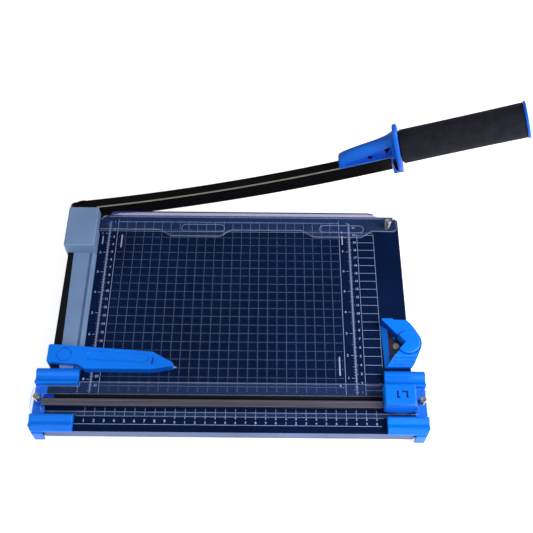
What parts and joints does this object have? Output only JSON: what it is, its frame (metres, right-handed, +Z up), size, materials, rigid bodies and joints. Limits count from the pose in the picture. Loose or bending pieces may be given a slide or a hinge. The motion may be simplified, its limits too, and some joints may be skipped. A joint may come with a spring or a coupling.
{
  "type": "guillotine paper cutter",
  "caption": "Flat paper cutter board with a swing-arm guillotine blade, clear guard, rotary trimmer on a rail, sliding paper stop and corner rounder.",
  "frame": {"origin": "centre of the bounding box in plan, on the plane that the feet stand on", "axes": "+X to the right along the guillotine's cut, +Y to the back towards the cutting arm, +Z up"},
  "size_m": [0.4964, 0.2872, 0.1956],
  "materials": {
    "board_paint": "semi-gloss dark navy coating over sheet steel",
    "rubber": "matt",
    "blade_steel": "ground",
    "zinc_steel": "zinc-plated",
    "black_steel": "satin black coating",
    "bronze": "sintered",
    "grey_plastic": "moulded, semi-gloss",
    "black_plastic": "moulded, matt",
    "blue_plastic": "moulded, gloss",
    "rail_steel": "drawn, satin",
    "clear_plastic": "polished clear acrylic",
    "die_steel": "ground, dark",
    "foam": "fine closed-cell foam, matt",
    "white_plastic": "moulded",
    "spring_steel": "drawn wire"
  },
  "bodies": {
    "base": {"base_pan": "board_paint", "rubber_feet": "rubber", "lower_blade": "blade_steel", "lower_blade_screws": "zinc_steel", "pivot_bracket": "zinc_steel", "pivot_bracket_screws": "zinc_steel", "pivot_bolt": "zinc_steel", "pivot_nut": "zinc_steel", "pivot_washers": "zinc_steel", "pivot_housing": "grey_plastic", "housing_screws": "zinc_steel", "side_fence": "grey_plastic", "fence_screws": "zinc_steel", "stop_track": "black_plastic", "left_bracket": "blue_plastic", "right_bracket": "blue_plastic", "bracket_screws": "zinc_steel", "rotary_rail": "rail_steel", "rail_screws": "zinc_steel", "cutting_strip": "black_plastic", "clamp_screws": "zinc_steel", "guard_screws": "zinc_steel", "rounder_body": "blue_plastic", "rounder_screws": "zinc_steel", "die_plate": "die_steel", "die_screw": "zinc_steel", "guard_springs": "spring_steel", "clamp_springs": "spring_steel", "rounder_spring": "spring_steel"},
    "arm": {"arm_beam": "black_steel", "arm_blade": "black_steel", "blade_rivets": "black_steel", "pivot_bush": "bronze", "hand_guard": "blue_plastic", "hand_guard_screw": "zinc_steel", "handle_tang": "zinc_steel", "tang_rivets": "black_steel", "grip_core": "zinc_steel", "foam_grip": "foam", "grip_end_cap": "blue_plastic"},
    "guard": {"clear_guard": "clear_plastic"},
    "clamp": {"clamp_strip": "clear_plastic"},
    "carriage": {"carriage_glide": "black_plastic", "head_springs": "spring_steel"},
    "cutter": {"head_cap": "blue_plastic", "blade_carrier": "white_plastic", "blade_axle": "zinc_steel"},
    "blade_wheel": {"rotary_blade": "blade_steel"},
    "stop": {"paper_stop": "blue_plastic", "stop_glide": "black_plastic", "stop_pin": "zinc_steel"},
    "punch_button": {"rounder_knob": "blue_plastic", "rounder_punch": "die_steel"}
  },
  "joints": [
    {"name": "arm_pivot", "type": "hinge", "parent": "base", "child": "arm", "pos_m": [-0.22224, 0.12515, 0.0155], "axis": [0, -1, 0], "range_deg": [-15.2, 50]},
    {"name": "guard_lift", "type": "slide", "parent": "base", "child": "guard", "axis": [0, 0, 1], "range_m": [0, 0.0025], "stiffness_N_per_m": 600, "springref_m": -0.004, "deforming": ["guard_springs"]},
    {"name": "clamp_lift", "type": "slide", "parent": "base", "child": "clamp", "axis": [0, 0, 1], "range_m": [0, 0.0009], "stiffness_N_per_m": 800, "springref_m": -0.003, "deforming": ["clamp_springs"]},
    {"name": "carriage_slide", "type": "slide", "parent": "base", "child": "carriage", "axis": [1, 0, 0], "range_m": [-0.335, 0]},
    {"name": "head_press", "type": "slide", "parent": "carriage", "child": "cutter", "axis": [0, 0, -1], "range_m": [0, 0.0014], "stiffness_N_per_m": 900, "springref_m": -0.003, "deforming": ["head_springs"]},
    {"name": "blade_spin", "type": "hinge", "parent": "cutter", "child": "blade_wheel", "pos_m": [0.11901, -0.10545, 0.0271], "axis": [0, 1, 0], "continuous": true},
    {"name": "stop_slide", "type": "slide", "parent": "base", "child": "stop", "axis": [0, 1, 0], "range_m": [0, 0.112]},
    {"name": "rounder_press", "type": "slide", "parent": "base", "child": "punch_button", "axis": [0, 0, -1], "range_m": [0, 0.0022], "stiffness_N_per_m": 1500, "springref_m": -0.002, "deforming": ["rounder_spring"]}
  ]
}
